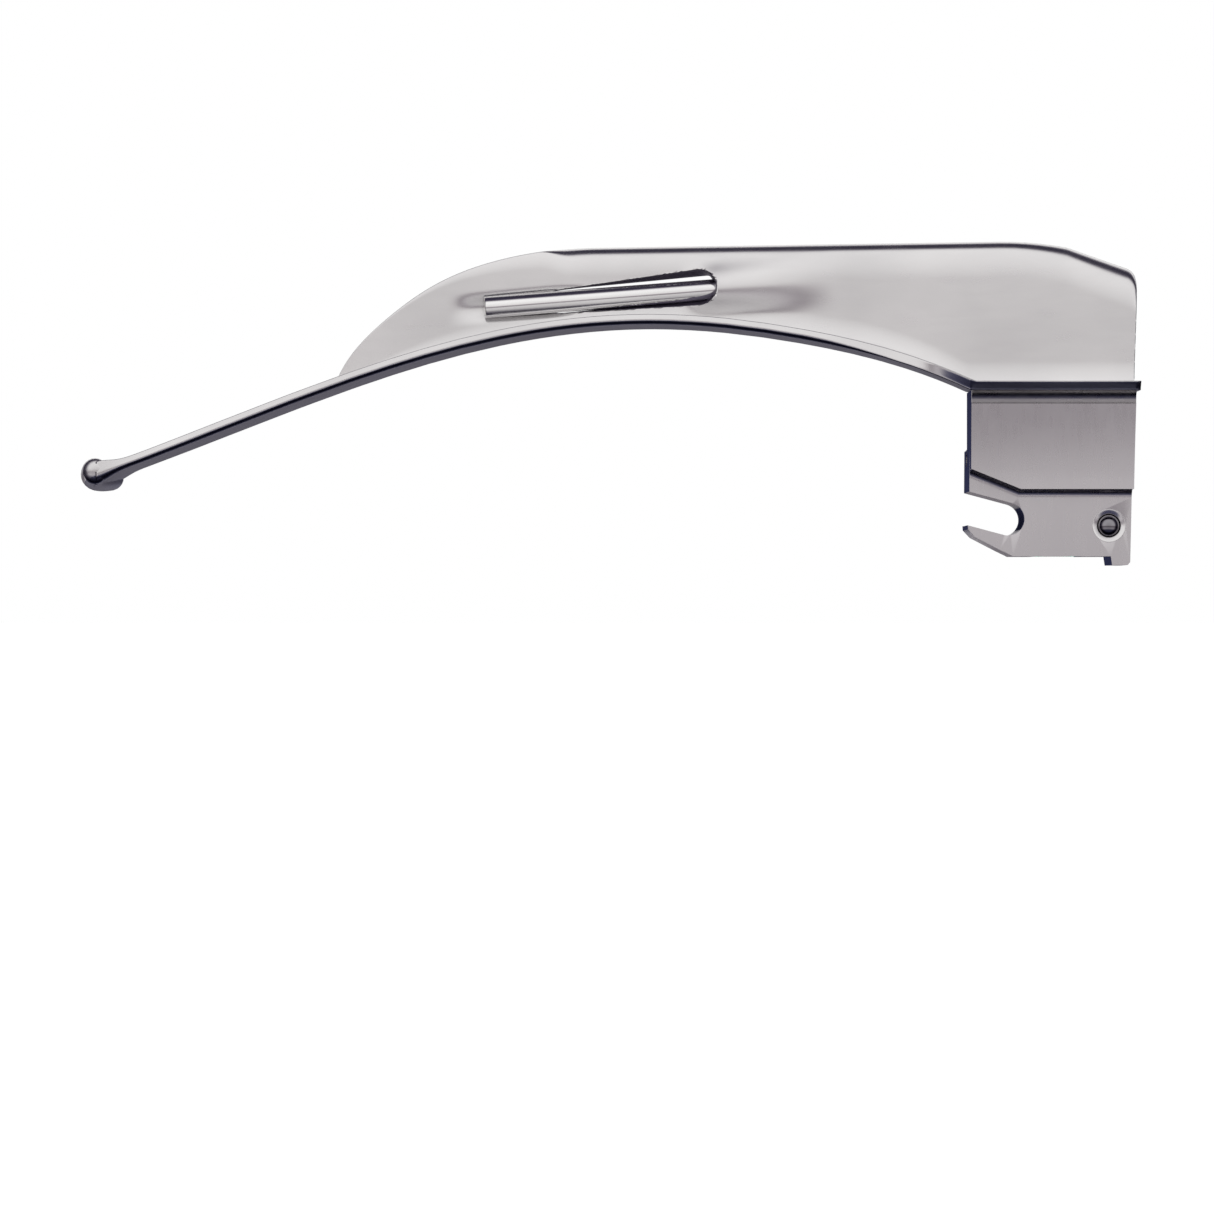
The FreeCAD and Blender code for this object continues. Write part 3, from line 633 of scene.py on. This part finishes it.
def window_cutter():
    """Prism through the web with the window's outline."""
    outline = window_outline()
    rings = [[on_window(*point, y) for point in outline] for y in (-9 * MM, 4 * MM)]
    bm = loft(rings)
    bmesh.ops.recalc_face_normals(bm, faces=bm.faces)
    mesh = bpy.data.meshes.new("window_cutter")
    bm.to_mesh(mesh)
    bm.free()
    cutter = bpy.data.objects.new("window_cutter", mesh)
    bpy.context.scene.collection.objects.link(cutter)
    return cutter


def make_window_lip():
    """Drawn lip round the window: the sheet's edge turned in towards the tube."""
    rings = []
    for along, across in window_outline(-0.06 * MM):
        start = on_window(along, across, 0)
        tube = axis_at(start.x)
        front = WEB_FRONT + 0.12 * MM + pressed(start.x, start.z)
        hug = (TUBE_RADIUS + 0.1 * MM) / max(abs(across), 0.4 * MM)
        shrink = min(hug, 0.96)
        end = on_window(along * 0.985, across * shrink, 0)
        deep = max(tube.y, front) + LIP_DEPTH
        outward = Vector((start.x - end.x, 0, start.z - end.z))
        outward = outward.normalized() if outward.length > 0 else Vector((0, 0, 1))
        skin = outward * LIP_WALL
        rings.append([
            Vector((start.x, front, start.z)),
            Vector((end.x, deep, end.z)),
            Vector((end.x, deep + LIP_WALL, end.z)) + skin * 0.3,
            Vector((start.x, front + LIP_WALL * 2, start.z)) + skin,
        ])
    # The lip is given painted shade, a near-black steel, for the dark gap round the tube.
    lip = new_piece("window_lip", loft(rings, closed=True), "channel", "blade", "web")
    round_rims(lip, 0.08 * MM, 30)


def apply_modifiers(piece):
    """Keeps what the modifiers make as the piece's own mesh."""
    graph = bpy.context.evaluated_depsgraph_get()
    made = bpy.data.meshes.new_from_object(piece.evaluated_get(graph))
    made.validate()
    piece.modifiers.clear()
    piece.data = made


def round_rims(piece, width, angle, segments=3):
    """Rounds the edges sharper than an angle in degrees."""
    bevel = piece.modifiers.new("edges", "BEVEL")
    bevel.width = width
    bevel.segments = segments
    bevel.limit_method = "ANGLE"
    bevel.angle_limit = math.radians(angle)
    normals = piece.modifiers.new("normals", "WEIGHTED_NORMAL")
    normals.weight = 60


def plate_front(x):
    """Where the tongue plate's long front edge stands at x."""
    level = sum(plate_levels(x)) / 2
    return touch(PLATE_TREE, (x, -1, level), (0, 1, 0)).y


TIP_FRONT_Y = plate_front(TIP_EDGE_X)
TIP_MIDDLE_Y = (TIP_FRONT_Y + WEB_BACK) / 2
TIP_HALF = (WEB_BACK - TIP_FRONT_Y) / 2 - TIP_CAP


def tip_line(y):
    """How far the tip's line stands back and up at y, from its front corner to its rear one."""
    share = max(min((y - TIP_MIDDLE_Y) / TIP_HALF, 1.15), -1.15)
    return [
        (front + rear) / 2 * share * share + (rear - front) / 2 * share
        for front, rear in zip(TIP_FRONT, TIP_REAR)
    ]


def plate_ring(x):
    """Section of the tongue plate at x: dished, its long edge light above and rolled under.

    Over the heel the edge leans in towards its foot, as a ledge.
    """
    near_tip = 1 - smoothstep(x, TIP_X, TIP_X + TIP_ZONE)
    over_heel = smoothstep(x, LEDGE_START, LEDGE_FULL)
    under, upper = plate_levels(x)
    front = plate_front(max(x, TIP_EDGE_X))
    back = WEB_BACK - TIP_CAP * near_tip ** 5
    thick = upper - under
    swell = (2 * TIP_BEAD - thick) * TIP_SWELL * near_tip ** 5
    dish = dish_at(x)
    top, low = upper + swell / 2, under - swell / 2
    top_round = thick * TOP_ROUND_SHARE
    near_heel = smoothstep(x, LEDGE_ROLL_START, LEDGE_START)
    roll = (top - low) * (ROLL_SHARE - (ROLL_SHARE - LEDGE_ROLL_SHARE) * near_heel)
    tuck = roll * ROLL_TUCK
    lean = LEDGE_LEAN * over_heel
    sit_back = SIT_BACK * (1 - over_heel)
    ring = []
    for step in range(ROLL_STEPS + 1):
        angle = math.radians(90 * (1 - step / ROLL_STEPS))
        ring.append((front + lean + tuck * (1 - math.cos(angle)), low + roll * (1 - math.sin(angle))))
    ring += straight(ring[-1], (front + sit_back, top - top_round), EDGE_STEPS)
    ring += arc((front + sit_back + top_round, top - top_round), top_round, 180, 90, 5)
    ring += straight((front + sit_back + top_round, top), (back, top), TOP_STEPS)
    ring += [(back, top), (back, low)]
    ring += straight((back, low), (front + lean + tuck, low), BOTTOM_STEPS)
    hollow_from = front + top_round
    points = []
    for y, z in ring:
        share = smoothstep(y, hollow_from, front + (WEB_FRONT - front) * DISH_SHARE)
        if z <= (top + low) / 2:
            share = 0.0
        bent = tip_line(y)[0] * near_tip
        slope = plate_levels(x + bent)[1] - upper
        points.append(Vector((x + bent, y, z + slope - dish * share)))
    return points


def paint_shade_underside(piece, is_under):
    """Gives the faces of a piece that is_under picks painted shade: a darker, bluish, duller steel."""
    piece.data.materials.append(MATERIALS["underside"])
    for face in piece.data.polygons:
        if is_under(face):
            face.material_index = 1


def make_plate():
    """Tongue plate, thickening towards its beaded tip."""
    stations = even(TIP_X, TIP_X + 12 * MM, 0.4 * MM)[:-1]
    stations += even(TIP_X + 12 * MM, PLATE_HIGH.x, 0.9 * MM)
    rings = [plate_ring(x) for x in stations]
    count = len(rings[0])

    def is_under(face):
        place = face.index % count
        rolled = place < (ROLL_STEPS + EDGE_STEPS if face.center.x > HEEL_LOW.x else ROLL_STEPS - 2)
        return rolled or place >= count - BOTTOM_STEPS

    plate = new_piece("tongue_plate", loft(rings), "blade", "blade", "spatula")
    paint_shade_underside(plate, is_under)


def make_tip_bead():
    """Round bead along the curved tip, closed at both ends."""
    steps, turns = 56, 24
    rings = []
    for step in range(steps + 1):
        angle = math.pi * step / steps
        reach = -math.cos(angle)
        y = TIP_MIDDLE_Y + reach * (TIP_HALF + TIP_CAP)
        over = max(abs(y - TIP_MIDDLE_Y) - TIP_HALF, 0.0) / TIP_CAP
        radius = TIP_BEAD * math.sqrt(max(1 - over ** 2.6, 0.0016))
        back, up = tip_line(y)
        centre = Vector((TIP_X + back, y, TIP_Z + up))
        rings.append([
            centre + Vector((math.cos(math.tau * turn / turns), 0, math.sin(math.tau * turn / turns)))
            * radius
            for turn in range(turns)
        ])
    bead = new_piece("tip_bead", loft(rings), "blade", "blade", "spatula")

    def is_under(face):
        back, up = tip_line(face.center.y)
        along = (face.center.x - TIP_X - back) / TIP_BEAD
        high = (face.center.z - TIP_Z - up) / TIP_BEAD
        return high < 0.55 * along - 0.42

    # Painted shade on the bead's underside.
    paint_shade_underside(bead, is_under)


# ---------------------------------------------------------------- light guide

def tube_path():
    """Points and directions of the tube's line: up from the block, round its bend, along the web."""
    foot = Vector((GUIDE_FOOT.x, GUIDE_FOOT.y, TUBE_LOW.z))
    corner = axis_at(GUIDE_FOOT.x)
    down = Vector((0, 0, -1))
    ahead = -AXIS
    half_turn = (math.pi - down.angle(ahead)) / 2
    tangent = TUBE_BEND * math.tan(half_turn)
    start = corner + down * tangent
    end = corner + ahead * tangent
    centre = corner + (down + ahead).normalized() * (TUBE_BEND / math.cos(half_turn))
    first = (start - centre).normalized()
    last = (end - centre).normalized()
    whole = first.angle(last)
    route = [(foot + (start - foot) * step / 10, -down) for step in range(10)]
    for step in range(37):
        turn = whole * step / 36
        out = (first * math.sin(whole - turn) + last * math.sin(turn)) / math.sin(whole)
        along = (last * math.cos(turn) - first * math.cos(whole - turn)).normalized()
        route.append((centre + out * TUBE_BEND, along))
    tip_x = TUBE_LOW.x + TUBE_RADIUS * math.hypot(AXIS.z, AXIS.y)
    tip = axis_at(tip_x)
    route += [(end + (tip - end) * step / 44, ahead) for step in range(1, 45)]
    return route


def make_tube():
    """Polished steel tube with a rounded mouth; the glass shows at its tip."""
    route = tube_path()
    side = AXIS.cross(Vector((0, 0, 1))).normalized()
    turns = 40
    wall = TUBE_RADIUS - TUBE_BORE

    def ring(point, along, radius):
        other = side.cross(along).normalized()
        return [
            point + side * math.cos(math.tau * turn / turns) * radius
            + other * math.sin(math.tau * turn / turns) * radius
            for turn in range(turns)
        ]

    rings = [ring(point, along, TUBE_RADIUS) for point, along in route[:-1]]
    tip, along = route[-1]
    for step in range(9):
        angle = math.pi * step / 8
        back = along * (wall / 2 * (math.sin(angle) - 1))
        rings.append(ring(tip + back, along, TUBE_BORE + wall / 2 * (1 + math.cos(angle))))
    rings += [ring(point, direction, TUBE_BORE) for point, direction in reversed(route[:-1])]
    new_piece("light_tube", loft(rings, closed=True), "tube", "light_guide", "guide_tube")


# ---------------------------------------------------------------- ball detents

SPRING_WIRE = 0.2 * MM
SPRING_TURNS = 6
BALL_OPENING = 1.75 * MM


def make_spring_half(name, side):
    """Half of the coil between the balls, from the middle out towards one ball; it is fixed and rides
    on no body.
    """
    low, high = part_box("detent_spring")
    centre = (low + high) / 2
    coil = (high.x - low.x) / 2 - SPRING_WIRE
    half = (high.y - low.y) / 2 - SPRING_WIRE
    steps, points = 120, 10
    rings = []
    for step in range(steps + 1):
        share = step / steps
        angle = side * math.pi * SPRING_TURNS * share
        out = Vector((math.cos(angle), 0, -math.sin(angle)))
        middle = centre + out * coil + Vector((0, side * half * share, 0))
        rings.append([
            middle + (out * math.cos(math.tau * point / points)
                      + Vector((0, 1, 0)) * math.sin(math.tau * point / points)) * SPRING_WIRE
            for point in range(points)
        ])
    spring = new_piece(name, loft(rings), "pin", None, "detent_spring")
    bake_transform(spring)


def make_detent_seat(name, side):
    """Turned ring staked over a ball: its face sinks like a countersink towards the ball."""
    low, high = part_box(name)
    centre = (low + high) / 2
    outer = (high.x - low.x) / 2
    face = low.y if side < 0 else high.y
    depth = high.y - low.y
    profile = [
        (outer, 0.0), (outer - 0.08 * MM, 0.0), (outer - 0.3 * MM, 0.08 * MM),
        (BALL_OPENING + 0.12 * MM, 0.24 * MM), (BALL_OPENING, 0.3 * MM), (BALL_OPENING, depth),
        (outer, depth),
    ]
    turns = 64
    rings = []
    for turn in range(turns):
        angle = math.tau * turn / turns
        rings.append([
            Vector((
                centre.x + radius * math.cos(angle),
                face - side * sunk,
                centre.z + radius * math.sin(angle),
            ))
            for radius, sunk in profile
        ])
    seat = new_piece("seat_of_" + name, loft(rings, closed=True), "ring", "blade", name)
    round_rims(seat, 0.05 * MM, 25, 2)


make_web()
make_window_lip()
for ring_name, ring_side in (("detent_ring_front", -1), ("detent_ring_rear", 1)):
    make_detent_seat(ring_name, ring_side)
make_spring_half("spring_front_half", -1)
make_spring_half("spring_rear_half", 1)
make_plate()
make_tip_bead()
make_tube()


# ---------------------------------------------------------------- studio

def area_light(name, place, target, size, power):
    """Soft light aimed at a target; the steel's reflections come from the world alone."""
    data = bpy.data.lights.new(name, "AREA")
    data.shape = "RECTANGLE"
    data.size, data.size_y = size
    data.energy = power
    light = bpy.data.objects.new(name, data)
    light.location = place
    light.rotation_mode = "QUATERNION"
    light.rotation_quaternion = (Vector(target) - Vector(place)).to_track_quat("-Z", "Y")
    light.visible_glossy = False
    bpy.context.scene.collection.objects.link(light)


def make_world():
    """White to the camera. To the steel: pale fore and aft, dark sideways and below, dimmer behind."""
    world = bpy.data.worlds.new("studio")
    bpy.context.scene.world = world
    world.use_nodes = True
    tree = world.node_tree
    tree.nodes.clear()
    links = tree.links
    out = tree.nodes.new("ShaderNodeOutputWorld")
    seen = tree.nodes.new("ShaderNodeBackground")
    seen.inputs["Color"].default_value = (1, 1, 1, 1)
    lit = tree.nodes.new("ShaderNodeBackground")
    path = tree.nodes.new("ShaderNodeLightPath")
    mix = tree.nodes.new("ShaderNodeMixShader")
    coordinates = tree.nodes.new("ShaderNodeTexCoord")
    parts = tree.nodes.new("ShaderNodeSeparateXYZ")
    size = tree.nodes.new("ShaderNodeMath")
    size.operation = "ABSOLUTE"
    facing = colour_ramp(tree, [
        (0.0, (0.03, 0.028, 0.045)),
        (0.32, (0.05, 0.042, 0.07)),
        (0.46, (0.25, 0.23, 0.27)),
        (0.60, (0.98, 0.965, 0.97)),
        (0.78, (1.08, 1.07, 1.07)),
        (0.93, (0.98, 0.965, 0.965)),
        (1.0, (0.86, 0.845, 0.845)),
    ])
    height = colour_ramp(tree, [
        (0.0, (0.04, 0.045, 0.09)),
        (0.20, (0.09, 0.09, 0.15)),
        (0.27, (0.60, 0.58, 0.60)),
        (0.34, (0.70, 0.68, 0.70)),
        (0.39, (0.36, 0.33, 0.36)),
        (0.43, (0.32, 0.295, 0.32)),
        (0.465, (0.52, 0.49, 0.51)),
        (0.50, (0.93, 0.915, 0.915)),
        (0.55, (1.0, 1.0, 1.0)),
        (1.0, (1.0, 1.0, 1.0)),
    ])
    stripe = colour_ramp(tree, [
        (0.33, (1.0, 1.0, 1.0)),
        (0.375, (0.45, 0.445, 0.47)),
        (0.64, (0.45, 0.445, 0.47)),
        (0.70, (1.0, 1.0, 1.0)),
    ])
    behind = tree.nodes.new("ShaderNodeMapRange")
    behind.inputs["From Min"].default_value = 0.35
    behind.inputs["From Max"].default_value = 0.65
    striped = tree.nodes.new("ShaderNodeMix")
    striped.data_type = "RGBA"
    striped.blend_type = "MULTIPLY"
    rise = tree.nodes.new("ShaderNodeMapRange")
    rise.inputs["From Min"].default_value = -1.0
    rise.inputs["From Max"].default_value = 1.0
    both = tree.nodes.new("ShaderNodeMix")
    both.data_type = "RGBA"
    both.blend_type = "MULTIPLY"
    both.inputs["Factor"].default_value = 1.0
    links.new(coordinates.outputs["Generated"], parts.inputs["Vector"])
    links.new(parts.outputs["Y"], size.inputs[0])
    links.new(size.outputs["Value"], facing.inputs["Fac"])
    links.new(parts.outputs["Z"], rise.inputs["Value"])
    links.new(rise.outputs["Result"], height.inputs["Fac"])
    links.new(facing.outputs["Color"], both.inputs[6])
    links.new(height.outputs["Color"], both.inputs[7])
    links.new(rise.outputs["Result"], stripe.inputs["Fac"])
    links.new(parts.outputs["Y"], behind.inputs["Value"])
    links.new(behind.outputs["Result"], striped.inputs["Factor"])
    links.new(both.outputs[2], striped.inputs[6])
    links.new(stripe.outputs["Color"], striped.inputs[7])
    links.new(striped.outputs[2], lit.inputs["Color"])
    links.new(path.outputs["Is Camera Ray"], mix.inputs["Fac"])
    links.new(lit.outputs["Background"], mix.inputs[1])
    links.new(seen.outputs["Background"], mix.inputs[2])
    links.new(mix.outputs["Shader"], out.inputs["Surface"])


def colour_ramp(tree, stops):
    """Ramp node with a list of (place, colour) stops."""
    ramp = tree.nodes.new("ShaderNodeValToRGB")
    while len(ramp.color_ramp.elements) < len(stops):
        ramp.color_ramp.elements.new(0.5)
    for element, (place, colour) in zip(ramp.color_ramp.elements, stops):
        element.position = place
        element.color = (*colour, 1)
    return ramp


def make_floor():
    """Plain pale floor a little under the part."""
    data = bpy.data.meshes.new("floor")
    half = 4.0
    level = CAD_BOX[0].z - 23 * MM
    corners = [(-half, -half, level), (half, -half, level), (half, half, level), (-half, half, level)]
    data.from_pydata(corners, [], [(0, 1, 2, 3)])
    floor = bpy.data.objects.new("floor", data)
    bpy.context.scene.collection.objects.link(floor)
    material = bpy.data.materials.new("floor_white")
    material.use_nodes = True
    shader = material.node_tree.nodes["Principled BSDF"]
    shader.inputs["Base Color"].default_value = (0.93, 0.93, 0.93, 1)
    shader.inputs["Roughness"].default_value = 0.9
    shader.inputs["Emission Color"].default_value = (1, 1, 1, 1)
    shader.inputs["Emission Strength"].default_value = 1.0
    data.materials.append(material)
    floor.visible_glossy = False


CAMERA_DISTANCE = 720 * MM
FRAME_WIDTH = 182.1 * MM
AXIS_FROM_SEAT = Vector((-59.7 * MM, 0, -13.1 * MM))


def make_camera():
    """Level camera on the flat side of the blade."""
    data = bpy.data.cameras.new("camera")
    data.sensor_width = 36.0
    data.lens = 36.0 * CAMERA_DISTANCE / FRAME_WIDTH
    data.clip_start = 0.01
    data.clip_end = 50.0
    camera = bpy.data.objects.new("camera", data)
    camera.location = AXIS_FROM_SEAT + Vector((0, -CAMERA_DISTANCE, 0))
    camera.rotation_euler = (math.radians(90), 0, 0)
    bpy.context.scene.collection.objects.link(camera)
    bpy.context.scene.camera = camera


make_world()
make_floor()
make_camera()
bpy.context.scene.view_settings.view_transform = "Standard"
area_light("key", (-0.35, -0.75, 0.75), (-0.06, 0, 0.02), (0.5, 0.35), 5.0)
area_light("fill", (0.55, -0.7, 0.15), (-0.06, 0, 0.02), (0.35, 0.6), 2.2)
area_light("rear_key", (-0.3, 0.75, 0.7), (-0.06, 0, 0.02), (0.5, 0.35), 4.0)
